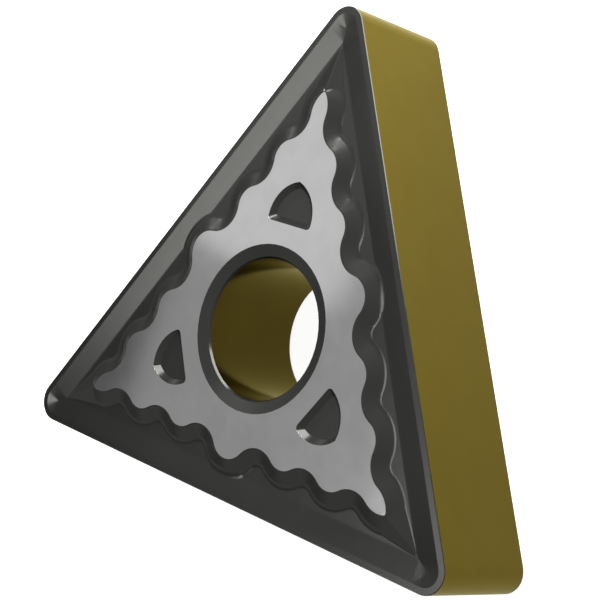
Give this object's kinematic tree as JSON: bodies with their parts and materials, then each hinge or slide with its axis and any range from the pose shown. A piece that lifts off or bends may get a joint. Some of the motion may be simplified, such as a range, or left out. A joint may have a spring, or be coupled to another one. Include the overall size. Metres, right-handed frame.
{
  "type": "turning insert",
  "caption": "Triangular indexable carbide turning insert with a scalloped chip groove on both faces, a through bore for clamping and a cutting edge round each face.",
  "frame": {"origin": "centre of the bore at mid thickness", "axes": "+Z along the bore axis, out of one of the two seating faces; +Y towards one of the three noses; the cutting side opposite that nose is parallel to X"},
  "size_m": [0.0208, 0.0182, 0.0048],
  "materials": {
    "coated_carbide": "satin"
  },
  "bodies": {
    "root": {"insert": "coated_carbide"}
  },
  "joints": []
}
